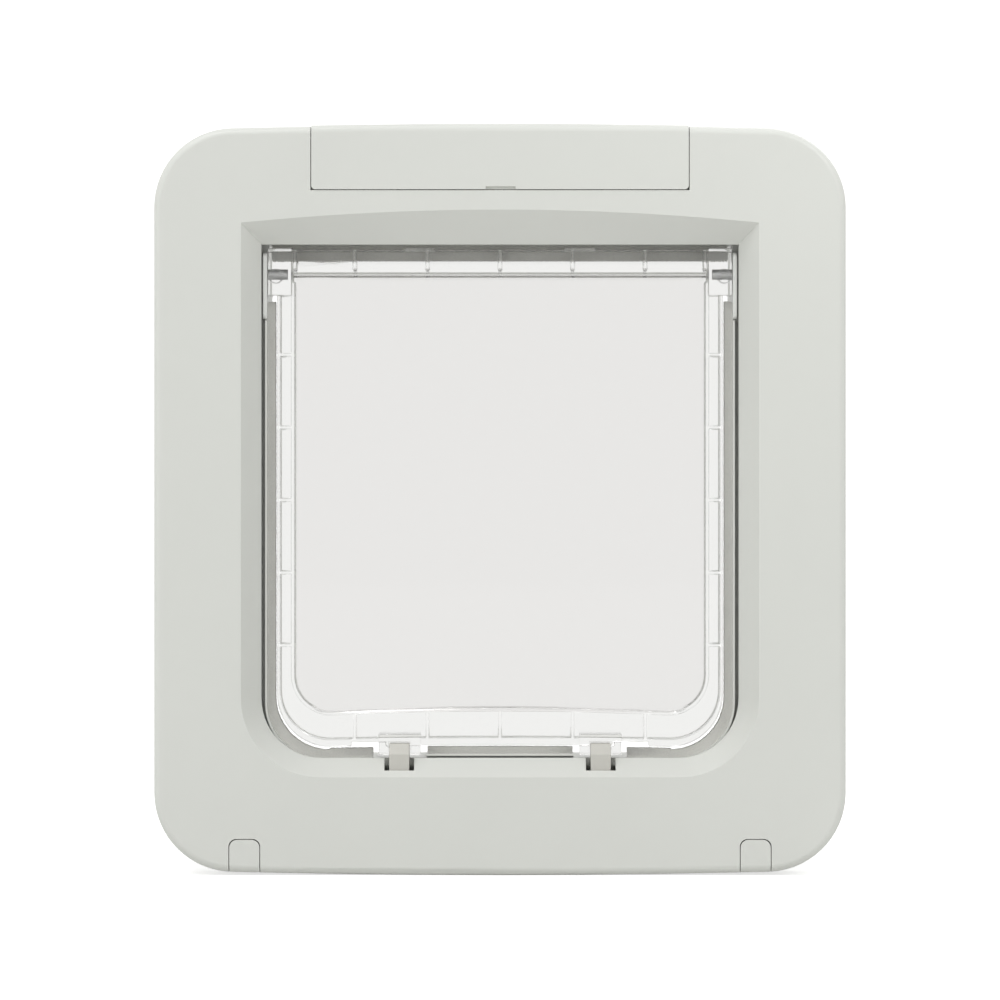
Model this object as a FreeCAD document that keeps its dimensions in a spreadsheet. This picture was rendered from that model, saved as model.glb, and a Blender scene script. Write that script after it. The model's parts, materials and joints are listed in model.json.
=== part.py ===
import FreeCAD, Part
import Sketcher
import math
import os

# Pet door for a 44 mm door leaf. X runs across, +Z up, +Y outdoors, and Y = 0 is the door's room-side face.
# The room-side unit stands at Y < 0, its tunnel and the outdoor frame at Y > 0.

V = FreeCAD.Vector
doc = FreeCAD.newDocument("cat_flap")
sheet = doc.addObject("Spreadsheet::Sheet", "Sizes")
nodes = {}


class Size:
    """A number that keeps the spreadsheet formula it comes from."""

    def __init__(self, number, text=None):
        self.number = float(number)
        self.text = text or (f"(0 - {-self.number})" if self.number < 0 else f"{self.number}")

    def __add__(self, other):
        other = as_size(other)
        return Size(self.number + other.number, f"({self.text} + {other.text})")

    def __sub__(self, other):
        other = as_size(other)
        return Size(self.number - other.number, f"({self.text} - {other.text})")

    def __mul__(self, other):
        other = as_size(other)
        return Size(self.number * other.number, f"({self.text} * {other.text})")

    def __truediv__(self, other):
        other = as_size(other)
        return Size(self.number / other.number, f"({self.text} / {other.text})")

    def __neg__(self):
        return Size(-self.number, f"(0 - {self.text})")

    def __radd__(self, other):
        return as_size(other) + self

    def __rsub__(self, other):
        return as_size(other) - self

    def __rmul__(self, other):
        return as_size(other) * self


def as_size(value):
    return value if isinstance(value, Size) else Size(value)


def cell(name, number):
    """Put one driving size on the sheet and give it back as a Size."""
    cell.row += 1
    sheet.set(f"A{cell.row}", name)
    sheet.set(f"B{cell.row}", str(number))
    sheet.setAlias(f"B{cell.row}", name)
    return Size(number, f"Sizes.{name}")


cell.row = 0

# Frames and the door leaf between them
door_thickness = cell("door_thickness", 44)
frame_width = cell("frame_width", 262)
frame_height = cell("frame_height", 280)
side_border = cell("side_border", 42.35)
bottom_border = cell("bottom_border", 41.7)
frame_bow = cell("frame_bow", 2.1)
corner_radius = cell("corner_radius", 30)
frame_depth = cell("frame_depth", 26)
frame_wall = cell("frame_wall", 2.5)
front_edge_radius = cell("front_edge_radius", 3)
back_plate_wall = cell("back_plate_wall", 3)
outer_depth = cell("outer_depth", 13)
outer_edge = cell("outer_edge", 2)
fit_gap = cell("fit_gap", 0.3)

# Funnel round the flap, from the mouth out to the face
mouth_margin = cell("mouth_margin", 2.05)
mouth_lap = cell("mouth_lap", 0.3)
mouth_round = cell("mouth_round", 1.9)
funnel_flare = cell("funnel_flare", 7.3)
funnel_head_flare = cell("funnel_head_flare", 7.8)
funnel_foot_flare = cell("funnel_foot_flare", 6.9)
funnel_rise = cell("funnel_rise", 5.5)
funnel_depth = cell("funnel_depth", 8.5)
funnel_wall = cell("funnel_wall", 2)

# Tunnel
passage_radius = cell("passage_radius", 20.8)
passage_head_radius = cell("passage_head_radius", 1)
tunnel_wall = cell("tunnel_wall", 3)
tunnel_reach = cell("tunnel_reach", 30)
tunnel_start = cell("tunnel_start", 10)
sleeve_lap = cell("sleeve_lap", 8.5)
sleeve_wall = cell("sleeve_wall", 2.4)
outer_flare = cell("outer_flare", 5.5)
lip_wall = cell("lip_wall", 0.7)
lip_gap = cell("lip_gap", 0.5)
sill_gap = cell("sill_gap", 2.2)
sill_height = cell("sill_height", 1.7)

# Flap
pivot_height = cell("pivot_height", 86)
pivot_drop = cell("pivot_drop", 11.4)
pivot_lead = cell("pivot_lead", 0.6)
flap_side_gap = cell("flap_side_gap", 3.65)
flap_head_gap = cell("flap_head_gap", 2.1)
flap_foot_gap = cell("flap_foot_gap", 3.6)
flap_bow = cell("flap_bow", 1.2)
flap_radius = cell("flap_radius", 20)
flap_depth = cell("flap_depth", 10)
flap_back = cell("flap_back", 1.5)
flap_side_wall = cell("flap_side_wall", 1.2)
flap_foot_wall = cell("flap_foot_wall", 3)
flap_head_wall = cell("flap_head_wall", 0.6)
flap_inner_wall = cell("flap_inner_wall", 1.4)
flap_web = cell("flap_web", 1.5)
pane_side_margin = cell("pane_side_margin", 6.7)
pane_foot_margin = cell("pane_foot_margin", 13.1)
pane_bow = cell("pane_bow", 2.4)
pane_radius = cell("pane_radius", 14)
pane_wall = cell("pane_wall", 2.2)
pane_crown = cell("pane_crown", 2.5)
pane_set_back = cell("pane_set_back", 2.4)
pane_head_slope = cell("pane_head_slope", 13.2)
pane_foot_slope = cell("pane_foot_slope", 6.2)
rib_pitch = cell("rib_pitch", 27.7)
rib_wall = cell("rib_wall", 1.2)
bar_radius = cell("bar_radius", 3.2)
bar_lift = cell("bar_lift", 2.1)
pin_radius = cell("pin_radius", 2)
pin_clearance = cell("pin_clearance", 0.05)
lug_clearance = cell("lug_clearance", 1.2)
lug_side_gap = cell("lug_side_gap", 0.35)
lug_inset = cell("lug_inset", 5.6)
lug_leg = cell("lug_leg", 8)
bead_radius = cell("bead_radius", 2.6)
catch_wall = cell("catch_wall", 3.8)
catch_reach = cell("catch_reach", 5)
catch_rise = cell("catch_rise", 5.7)
bracket_wall = cell("bracket_wall", 1.6)
bracket_foot = cell("bracket_foot", 17.4)
bracket_head = cell("bracket_head", 8.3)

# Pile seals
seal_depth = cell("seal_depth", 4)
seal_set_back = cell("seal_set_back", 1.5)
head_seal_drop = cell("head_seal_drop", 6.4)

# Latches and their drive
latch_spread = cell("latch_spread", 76.4)
latch_width = cell("latch_width", 7.6)
latch_lap = cell("latch_lap", 2.3)
latch_set_back = cell("latch_set_back", 3.6)
latch_gap = cell("latch_gap", 0.4)
slot_margin = cell("slot_margin", 1.85)
slider_drop = cell("slider_drop", 19.7)
slider_thick = cell("slider_thick", 6)
slider_depth = cell("slider_depth", 4)
tooth_module = cell("tooth_module", 0.8)
pinion_teeth = cell("pinion_teeth", 12)
pinion_width = cell("pinion_width", 4.4)
pinion_clearance = cell("pinion_clearance", 0.5)
shaft_radius = cell("shaft_radius", 1.5)

# Battery compartment in the top border
tray_lift = cell("tray_lift", 9.1)
tray_head_gap = cell("tray_head_gap", 1.5)
tray_wall = cell("tray_wall", 1.2)
battery_radius = cell("battery_radius", 7.25)
battery_length = cell("battery_length", 50.5)
battery_gap = cell("battery_gap", 0.3)
cover_width = cell("cover_width", 142.8)
cover_rise = cell("cover_rise", 11)
cover_proud = cell("cover_proud", 0.4)
cover_wall = cell("cover_wall", 2.2)
notch_width = cell("notch_width", 11.3)
notch_depth = cell("notch_depth", 0.9)
button_offset = cell("button_offset", 10.2)
button_radius = cell("button_radius", 3)
button_travel = cell("button_travel", 1.2)

# Antenna coil round the tunnel
coil_start = cell("coil_start", 3.2)
coil_depth = cell("coil_depth", 3)
coil_cover_wall = cell("coil_cover_wall", 1.6)
flange_wall = cell("flange_wall", 1.4)

# Fixings
screw_radius = cell("screw_radius", 2)
screw_head_radius = cell("screw_head_radius", 4)
screw_head_height = cell("screw_head_height", 2.6)
screw_hole_play = cell("screw_hole_play", 0.25)
boss_wall = cell("boss_wall", 3.5)
seat_drop = cell("seat_drop", 10)
low_screw_inset = cell("low_screw_inset", 34.3)
low_screw_rise = cell("low_screw_rise", 8.5)
insert_wall = cell("insert_wall", 0.8)
insert_length = cell("insert_length", 8)
cap_width = cell("cap_width", 11.4)
cap_height = cell("cap_height", 11.5)
post_radius = cell("post_radius", 3)
post_inset = cell("post_inset", 12)
post_drop = cell("post_drop", 34)
tap_radius = cell("tap_radius", 1.1)

far = 400
past = 1
hair = 0.1

# Heights of the passage and the frame, from the pivot up and from the foot up
tray_height = tray_wall * 2 + (battery_radius * 2 + battery_gap) * 2
passage_top = pivot_height + pivot_drop
tray_bottom = passage_top + tray_lift
frame_top = tray_bottom + tray_height + tray_head_gap
frame_foot = frame_height - frame_top
passage_bottom = frame_foot - bottom_border
half = frame_width / 2
passage_side = half - side_border

# Mouth and funnel
front_y = -frame_depth
mouth_y = front_y + funnel_depth
skin_back = mouth_y + funnel_wall
mouth_side = passage_side + mouth_margin
mouth_top = passage_top - mouth_lap
mouth_bottom = passage_bottom - mouth_lap
mouth_radius = passage_radius + mouth_round
lip_front = skin_back + lip_gap

# Flap
flap_side = passage_side - flap_side_gap
flap_top = passage_top - flap_head_gap
flap_bottom = passage_bottom - flap_foot_gap
flap_front = -(flap_back + flap_depth)
pane_side = flap_side - pane_side_margin
pane_bottom = flap_bottom - pane_foot_margin
pivot_y = -(flap_back + flap_depth / 2) - pivot_lead
lug_radius = pivot_drop - lug_clearance

# Latches, between the frame's face and the flap
latch_back = flap_front - latch_gap
latch_front = front_y + latch_set_back
latch_tip = flap_bottom - latch_lap
slider_height = passage_bottom + slider_drop
wall_front = -back_plate_wall

# Battery tray, its cover and what stands beside it
tray_span = battery_length + tray_wall * 1.5 + past
cover_bottom = tray_bottom + cover_rise
button_x = tray_span + button_offset
top_screw_z = tray_bottom + 15
button_z = top_screw_z + 12
low_screw_x = half - low_screw_inset
low_screw_z = frame_foot - low_screw_rise
cap_top = frame_foot - cap_height
seat_y = front_y + seat_drop
head_y = seat_y - screw_head_height - 0.4


def bind(thing, prop, value):
    thing.setExpression(prop, as_size(value).text)


def named(kind, name):
    return doc.addObject(kind, name)


def box(name, x, y, z):
    solid = named("Part::Box", name)
    for prop, letter, span in zip(("Length", "Width", "Height"), "xyz", (x, y, z)):
        bind(solid, prop, span[1] - span[0])
        bind(solid, f"Placement.Base.{letter}", span[0])
    return solid


def span_out(sign, near, far_end):
    """A span of X on one side of the middle, from near to far_end."""
    return (near, far_end) if sign > 0 else (-far_end, -near)


def about(centre, reach):
    return centre - reach, centre + reach


TURNS = {"x": (V(0, 1, 0), 90), "y": (V(1, 0, 0), -90), "z": (V(0, 0, 1), 0)}


def rod(name, axis, radius, across, along):
    """A round bar; across is its centre on the two other axes, in X, Y, Z order."""
    solid = named("Part::Cylinder", name)
    solid.Placement = FreeCAD.Placement(V(), FreeCAD.Rotation(*TURNS[axis]))
    bind(solid, "Radius", radius)
    bind(solid, "Height", along[1] - along[0])
    bind(solid, f"Placement.Base.{axis}", along[0])
    for letter, place in zip([a for a in "xyz" if a != axis], across):
        bind(solid, f"Placement.Base.{letter}", place)
    return solid


def outline(corners):
    """Corners of a counter-clockwise loop as points and segments.

    A corner is (a, b), (a, b, "round", r) between straight sides along the axes,
    or (a, b, "bow" or "dip", rise) where the side that leaves it is an arc."""
    points, sides = [], []
    count = len(corners)
    for i, corner in enumerate(corners):
        a, b = as_size(corner[0]), as_size(corner[1])
        kind = corner[2] if len(corner) > 2 else "line"
        before, after = corners[i - 1], corners[(i + 1) % count]
        arrive = heading(before, corner)
        leave = heading(corner, after)
        if kind == "round":
            r = as_size(corner[3])
            start = (a - arrive[0] * r, b - arrive[1] * r)
            end = (a + leave[0] * r, b + leave[1] * r)
            centre = (start[0] + leave[0] * r, start[1] + leave[1] * r)
            lean = 1 - math.sqrt(0.5)
            middle = tuple(c.number + (k.number - c.number) * (1 - lean) for c, k in zip(centre, (a, b)))
            points += [start, end]
            sides += [("arc", middle, r), ("line",)]
        elif kind in ("bow", "dip"):
            rise = as_size(corner[3])
            side = 1 if kind == "bow" else -1
            to = (as_size(after[0]), as_size(after[1]))
            chord = (to[0] - a) * leave[0] + (to[1] - b) * leave[1]
            radius = (chord * chord / 4 + rise * rise) / (rise * 2)
            middle = ((a.number + to[0].number) / 2 + side * leave[1] * rise.number,
                      (b.number + to[1].number) / 2 - side * leave[0] * rise.number)
            points.append((a, b))
            sides.append(("arc", middle, radius))
        else:
            points.append((a, b))
            sides.append(("line",))
    return points, sides


def heading(start, end):
    """Unit step from one corner to the next, as plain numbers."""
    run = [as_size(e).number - as_size(s).number for s, e in zip(start[:2], end[:2])]
    length = math.hypot(*run) or 1
    return [round(r / length, 9) for r in run]


def sketch(name, plane, level, corners):
    """A closed sketch whose every point and radius is bound to the sheet."""
    turns = {"front": (V(1, 0, 0), 90), "top": (V(0, 0, 1), 0), "side": (V(1, 1, 1), 120)}
    letter = {"front": "y", "top": "z", "side": "x"}[plane]
    drawing = named("Sketcher::SketchObject", name)
    drawing.Placement = FreeCAD.Placement(V(), FreeCAD.Rotation(*turns[plane]))
    bind(drawing, f"Placement.Base.{letter}", level)
    draw(drawing, corners)
    return drawing


def draw(drawing, corners):
    points, sides = outline(corners)
    flat = [V(a.number, b.number, 0) for a, b in points]
    count = len(flat)
    for i, side in enumerate(sides):
        start, end = flat[i], flat[(i + 1) % count]
        if side[0] == "arc":
            drawing.addGeometry(Part.Arc(start, V(side[1][0], side[1][1], 0), end), False)
        else:
            drawing.addGeometry(Part.LineSegment(start, end), False)
    ends = []
    for i, side in enumerate(sides):
        first, last = 1, 2
        if side[0] == "arc":
            ahead, behind = drawing.getPoint(i, 1), drawing.getPoint(i, 2)
            if ahead.distanceToPoint(flat[i]) > behind.distanceToPoint(flat[i]):
                first, last = 2, 1
        ends.append((first, last))
    for i in range(count):
        following = (i + 1) % count
        drawing.addConstraint(
            Sketcher.Constraint("Coincident", i, ends[i][1], following, ends[following][0]))
    for i, (a, b) in enumerate(points):
        for kind, place in (("DistanceX", a), ("DistanceY", b)):
            index = drawing.addConstraint(
                Sketcher.Constraint(kind, -1, 1, i, ends[i][0], place.number))
            drawing.setExpression(f"Constraints[{index}]", place.text)
    for i, side in enumerate(sides):
        if side[0] == "arc":
            index = drawing.addConstraint(Sketcher.Constraint("Radius", i, side[2].number))
            drawing.setExpression(f"Constraints[{index}]", side[2].text)


def prism(name, plane, corners, low, high):
    step = {"front": V(0, 1, 0), "top": V(0, 0, 1), "side": V(1, 0, 0)}[plane]
    solid = named("Part::Extrusion", name)
    solid.Base = sketch(name + "_outline", plane, low, corners)
    solid.DirMode = "Custom"
    solid.Dir = step
    solid.Solid = True
    bind(solid, "LengthFwd", as_size(high) - low)
    return solid


def turned(name, corners, axis, place):
    """A turned piece: corners are (radius, height) and the axis is X, Y or Z."""
    body = named("PartDesign::Body", name)
    drawing = body.newObject("Sketcher::SketchObject", name + "_profile")
    drawing.AttachmentSupport = (origin_plane(body, "XZ_Plane"), [""])
    drawing.MapMode = "FlatFace"
    draw(drawing, corners)
    spin = body.newObject("PartDesign::Revolution", name + "_turn")
    spin.Profile = drawing
    spin.ReferenceAxis = (drawing, ["V_Axis"])
    spin.Angle = 360
    body.Tip = spin
    body.Placement = FreeCAD.Placement(V(), FreeCAD.Rotation(*TURNS[axis]))
    for letter, value in zip("xyz", place):
        bind(body, f"Placement.Base.{letter}", value)
    return body


def origin_plane(body, role):
    return [plane for plane in body.Origin.OriginFeatures if plane.Role == role][0]


def cut(name, base, *tools):
    result = named("Part::Cut", name)
    result.Base = base
    result.Tool = tools[0] if len(tools) == 1 else fuse(name + "_tools", *tools)
    return result


def fuse(name, *shapes):
    result = named("Part::MultiFuse", name)
    result.Shapes = list(shapes)
    result.Refine = True
    return result


def common(name, *shapes):
    result = named("Part::MultiCommon", name)
    result.Shapes = list(shapes)
    return result


def grouped(name, *shapes):
    """Several like pieces that share one node."""
    result = named("Part::Compound", name)
    result.Links = list(shapes)
    return result


def rounded(name, base, radius, chosen, kind="Part::Fillet"):
    doc.recompute()
    edges = [i + 1 for i, edge in enumerate(base.Shape.Edges) if chosen(edge)]
    result = named(kind, name)
    result.Base = base
    result.Edges = [(i, as_size(radius).number, as_size(radius).number) for i in edges]
    return result


def runs_along(edge, axis):
    """True for a straight edge along the axis."""
    if not isinstance(edge.Curve, Part.Line):
        return False
    return abs(abs(edge.Curve.Direction.dot(axis)) - 1) < 1e-6


def upright(test=lambda place: True):
    """Edges along Y, those whose middle passes the test."""
    return lambda edge: runs_along(edge, V(0, 1, 0)) and test(edge.CenterOfMass)


def at_level(y):
    """Edges that lie whole in the plane at Y = y."""
    return lambda edge: all(abs(v.Point.y - as_size(y).number) < 1e-4 for v in edge.Vertexes) and (
        abs(edge.CenterOfMass.y - as_size(y).number) < 1e-4)


def piece(label, solid):
    solid.Label = label
    nodes[label] = solid
    return solid


SIDES = (("left", -1), ("right", 1))


def frame_block(name, low, high, inset=0, raise_top=0):
    """The frame's outline with bowed top and bottom, set in all round by inset."""
    side, foot, head = half - inset, frame_foot - inset, frame_top - inset + raise_top
    block = prism(name + "_block", "front",
                  [(-side, -foot, "bow", frame_bow), (side, -foot), (side, head, "bow", frame_bow), (-side, head)],
                  low, high)
    return rounded(name, block, corner_radius - inset, upright())


def mouth_corners(side, top, bottom, radius, rise=0):
    """The flap opening's outline: square or bowed at the top, round at the bottom."""
    top_side = (side, top, "bow", rise) if as_size(rise).number > 0 else (side, top)
    return [(-side, -bottom, "round", radius), (side, -bottom, "round", radius), top_side, (-side, top)]


def passage_corners(grow):
    """The passage's clear section, grown outwards."""
    side, base, head = passage_side + grow, passage_bottom + grow, passage_top + grow
    low_r, top_r = passage_radius + grow, passage_head_radius + grow
    return [(-side, -base, "round", low_r), (side, -base, "round", low_r),
            (side, head, "round", top_r), (-side, head, "round", top_r)]


def flap_corners(grow, top):
    """The flap's outline with its hollow foot; its lower corners are rounded afterwards."""
    side, foot = flap_side + grow, flap_bottom + grow
    return [(-side, -foot, "dip", flap_bow), (side, -foot), (side, top), (-side, top)]


def flap_plate(name, grow, top, low, high):
    block = prism(name + "_block", "front", flap_corners(grow, top), low, high)
    return rounded(name, block, flap_radius + grow, upright(lambda place: place.z < 0))


def loft(name, first, second):
    solid = named("Part::Loft", name)
    solid.Sections = [first, second]
    solid.Solid = True
    solid.Ruled = True
    return solid


def ring(name, inner, outer, low, high):
    """A band round the passage; inner and outer are distances out from its clear section."""
    outside = prism(name + "_out", "front", passage_corners(outer), low, high)
    inside = prism(name + "_in", "front", passage_corners(inner), low - past, high + past)
    return cut(name, outside, inside)


def screw_places():
    return [(sign * x, z) for _, sign in SIDES for x, z in ((low_screw_x, -low_screw_z), (button_x, top_screw_z))]


def post_places():
    """The corner posts that the housing screws hold."""
    x = half - post_inset
    return [(sign * x, z) for _, sign in SIDES for z in (frame_top - post_drop, post_drop - frame_foot)]


def latch_centres():
    return {"left": -latch_spread / 2, "right": latch_spread / 2}


# Front frame: one moulding with its funnel, posts and stiffeners
def front_frame():
    body = rounded("frame_outer", frame_block("frame_outline", front_y, 0), front_edge_radius, at_level(front_y))
    cavity = frame_block("frame_cavity", front_y + frame_wall, past, frame_wall)
    inner_face = front_y + frame_wall / 2
    posts = [rod(f"frame_post_{i}", "y", post_radius, place, (inner_face, wall_front - fit_gap))
             for i, place in enumerate(post_places())]
    whole = fuse("frame_with_funnel", cut("frame_shell", body, cavity), funnel_skin(), *posts, *stiffeners())
    pilots = [rod(f"post_pilot_{i}", "y", tap_radius, place, (wall_front - 12, past))
              for i, place in enumerate(post_places())]
    cover_hole = box("cover_hole", about(Size(0), cover_width / 2 + fit_gap), (front_y - past, past),
                     (cover_bottom - fit_gap, far))
    slots = [box(f"latch_slot_{side}", about(x, latch_width / 2 + slot_margin),
                 (latch_front - 0.6, past), about(-mouth_bottom - 4.5, 7.5))
             for side, x in latch_centres().items()]
    cap_holes = [cap_block(f"cap_hole_{side}", sign, fit_gap, front_y - past, head_y - past)
                 for side, sign in SIDES]
    piece("front_frame", cut("front_frame_cut", whole, *funnel_room(), cover_hole, *slots, *cap_holes, *pilots))


def funnel_skin():
    """The funnel's outer surface: a loft from behind the face down to the mouth."""
    out = funnel_wall * 0.75
    return loft("funnel_skin",
                sketch("funnel_skin_front", "front", front_y + frame_wall / 2,
                       mouth_corners(mouth_side + funnel_flare + out, mouth_top + funnel_head_flare + out,
                                     mouth_bottom + funnel_foot_flare + out, mouth_radius + funnel_flare + out,
                                     funnel_rise)),
                sketch("funnel_skin_back", "front", skin_back,
                       mouth_corners(mouth_side + funnel_wall, mouth_top + funnel_wall, mouth_bottom + funnel_wall,
                                     mouth_radius + funnel_wall, hair)))


def funnel_room():
    """The room inside the funnel, drawn on past the face by one step, and the mouth behind it."""
    on = 1 + past / funnel_depth.number
    flare = loft("funnel_flare",
                 sketch("funnel_front", "front", front_y - past,
                        mouth_corners(mouth_side + funnel_flare * on, mouth_top + funnel_head_flare * on,
                                      mouth_bottom + funnel_foot_flare * on, mouth_radius + funnel_flare * on,
                                      funnel_rise)),
                 sketch("funnel_back", "front", mouth_y,
                        mouth_corners(mouth_side, mouth_top, mouth_bottom, mouth_radius, hair)))
    throat = prism("funnel_throat", "front", mouth_corners(mouth_side, mouth_top, mouth_bottom, mouth_radius),
                   mouth_y - hair, past)
    return flare, throat


def stiffeners():
    """Flat ribs across the side borders, behind the face."""
    near, end = mouth_side + funnel_flare + funnel_wall, half - frame_wall / 2
    ribs = []
    for row in (-1, 0, 1):
        for side, sign in SIDES:
            ribs.append(box(f"stiffener_{side}_{row + 1}", span_out(sign, near, end),
                            (front_y + frame_wall / 2, front_y + frame_wall + 4.5),
                            about(rib_pitch * row * 1.2, rib_wall * 0.6)))
    return ribs


def cap_block(name, sign, gap, low, high):
    """The space of one screw cap, open to the bottom edge and round at its top."""
    middle, reach = low_screw_x * sign, cap_width / 2 + gap
    top = -cap_top + gap
    return prism(name, "front",
                 [(middle - reach, -far), (middle + reach, -far), (middle + reach, top, "round", 3),
                  (middle - reach, top, "round", 3)], low, high)


def screw_caps():
    skin = rounded("cap_skin", frame_block("cap_outline", front_y, head_y - past - fit_gap), front_edge_radius,
                   at_level(front_y))
    wall = 1.4
    for side, sign in SIDES:
        block = common(f"cap_{side}_block", skin, cap_block(f"cap_{side}_space", sign, 0, front_y - past, 0))
        hollow = box(f"cap_{side}_hollow", about(low_screw_x * sign, cap_width / 2 - wall),
                     (front_y + wall + 0.4, 0), (2 - frame_foot, -cap_top - wall))
        piece(f"screw_cover_{side}", cut(f"cap_{side}", block, hollow))


# Battery cover, flush in the top edge
def battery_cover():
    proud_y = front_y - cover_proud * 0.75
    skin = rounded("cover_skin", frame_block("cover_outline", proud_y, 0, 0, cover_proud), front_edge_radius,
                   at_level(proud_y))
    side = cover_width / 2
    space = prism("cover_space", "front",
                  [(-side, cover_bottom, "round", 1.5), (side, cover_bottom, "round", 1.5),
                   (side, far), (-side, far)], front_y - past, past)
    block = common("cover_block", skin, space)
    inner = frame_block("cover_inner", front_y + cover_wall, past, frame_wall)
    notch = box("finger_slot", about(Size(0.25), notch_width / 2), (front_y - past, front_y + notch_depth),
                (cover_bottom - past, cover_bottom + 1.1))
    tab_back = front_y + frame_wall + fit_gap + 1.4
    tabs = []
    for side_name, sign in SIDES:
        x = about(tray_span * 0.85 * sign, 6)
        tabs.append(box(f"cover_tab_{side_name}", x, (tab_back - 1.4, tab_back), about(cover_bottom + 0.25, 3.75)))
        tabs.append(box(f"cover_bridge_{side_name}", x, (front_y + cover_wall / 2, tab_back),
                        (cover_bottom + 0.6, cover_bottom + 4)))
    shell = fuse("cover_shell", cut("cover_hollow", block, inner), *tabs)
    piece("battery_cover", cut("cover_cut", shell, notch))


# Inner housing: back plate, tunnel and screw bosses
def inner_housing():
    plate = cut("plate_with_passage", frame_block("plate_outline", wall_front, 0, frame_wall + fit_gap),
                prism("plate_passage", "front", passage_corners(tunnel_wall / 2), wall_front - past, past))
    tube = ring("tunnel_tube", Size(0), tunnel_wall, -tunnel_start, tunnel_reach)
    bosses = [rod(f"screw_boss_{i}", "y", screw_radius + boss_wall, place, (seat_y, wall_front + past))
              for i, place in enumerate(screw_places())]
    whole = fuse("housing_whole", plate, tube, tunnel_lip(), *sill(), *bosses)
    holes = [rod(f"screw_hole_{i}", "y", screw_radius + screw_hole_play, place, (seat_y - past, past))
             for i, place in enumerate(screw_places())]
    for i, place in enumerate(post_places()):
        holes.append(rod(f"tap_hole_{i}", "y", tap_radius + 0.6, place, (wall_front - past, past)))
        holes.append(rod(f"tap_head_{i}", "y", tap_radius + 2.1, place, (tap_seat(), past)))
    for side, sign in SIDES:
        holes.append(box(f"bracket_seat_{side}", span_out(sign, passage_side - 0.5, passage_side + bracket_wall),
                         (-tunnel_start - past, bracket_back()), bracket_rise()))
        holes.append(rod(f"pin_relief_{side}", "x", pin_radius + fit_gap, (pivot_y, pivot_height),
                         about((passage_side + 2) * sign, 2.5)))
    piece("inner_housing", cut("housing_cut", whole, *holes))


def tunnel_lip():
    """The thin lip round the tunnel's front, left out at the brackets and beside the latches."""
    lip = ring("tunnel_lip", Size(0), lip_wall, lip_front, past - tunnel_start)
    room = (lip_front - past, -tunnel_start)
    gaps = [box("lip_gap_top", (-half, half), room, (bracket_rise()[0] - fit_gap, far))]
    for side, sign in SIDES:
        x = latch_spread / 2
        gaps.append(box(f"lip_gap_{side}", span_out(sign, x - 10.8, x + 20.4), room, (-far, 12 - passage_bottom)))
    return cut("lip_trimmed", lip, *gaps)


def sill_side():
    """Half the sill's width: it ends beside the flap's catches."""
    return (latch_spread - latch_width) / 2 - catch_wall - latch_gap - sill_gap


def sill():
    top = sill_height - passage_bottom
    x = about(Size(0), sill_side())
    return (box("tunnel_sill", x, (-tunnel_start, tunnel_reach), (-passage_bottom - tunnel_wall / 2, top)),
            box("sill_lip", x, (lip_front, past - tunnel_start), (top - lip_wall, top)))


def tap_seat():
    return wall_front * 0.6


def bracket_back():
    return 0.5 - flap_back


def bracket_rise():
    return pivot_height - bracket_foot, pivot_height + bracket_head


# Flap: one clear moulding with a ribbed rim, a bowed pane and two catches
def flap():
    plate = flap_plate("flap_outline", 0, flap_top, flap_front, -flap_back)
    window = pane_prism("flap_window", 0, flap_front - past, 0)
    head_room = box("flap_head", about(Size(0), pane_side + flap_inner_wall / 2), (flap_front - past, 0),
                    (pivot_height - 3, flap_top - flap_head_wall))
    foot_notches = [box(f"foot_notch_{side}", about(foot_notch_x() * sign, 6.6), (flap_front - past, 0),
                        (-flap_bottom - past, 2.4 - flap_bottom)) for side, sign in SIDES]
    rim = cut("flap_rim", plate, window, head_room, rim_groove(), *foot_notches)
    bar_z = pivot_height + bar_lift
    bar = rod("hinge_bar", "x", bar_radius, (pivot_y, bar_z), about(Size(0), flap_side - 4))
    head_ribs = [box(f"head_rib_{i}", about(x, rib_wall / 2), (flap_front, -flap_back),
                     (bar_z, flap_top - flap_head_wall / 2)) for i, x in enumerate(head_rib_places())]
    middle_y = -flap_back - flap_depth / 2
    jogs = [box(f"head_jog_{side}", about(rib_pitch * 1.1 * sign, 5.7), about(middle_y, 2.5),
                (flap_top - flap_head_wall / 2, flap_top + 0.8)) for side, sign in SIDES]
    catches = [catch(side, x) for side, x in latch_centres().items()]
    lugs = [lug(side, sign) for side, sign in SIDES]
    whole = fuse("flap_whole", rim, bowed_pane(), bar, *head_ribs, *jogs, *catches, *lugs)
    bores = [rod(f"pin_bore_{side}", "x", pin_radius, (pivot_y, pivot_height), about((flap_side + 1) * sign, 5))
             for side, sign in SIDES]
    piece("flap", cut("flap_cut", whole, *bores))


def foot_notch_x():
    """Just outside the catches, where the rim's foot steps up."""
    return latch_spread / 2 + 11.9


def head_rib_places():
    end = flap_side - lug_inset - rib_wall
    return [Size(0), -rib_pitch, rib_pitch, -rib_pitch * 2, rib_pitch * 2, -end, end]


def pane_prism(name, grow, low, high):
    side, foot, head = pane_side + grow, pane_bottom + grow, pivot_height + grow
    block = prism(name + "_block", "front",
                  [(-side, -foot, "dip", pane_bow), (side, -foot), (side, head), (-side, head)], low, high)
    return rounded(name, block, pane_radius + grow, upright(lambda place: place.z < 0))


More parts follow.
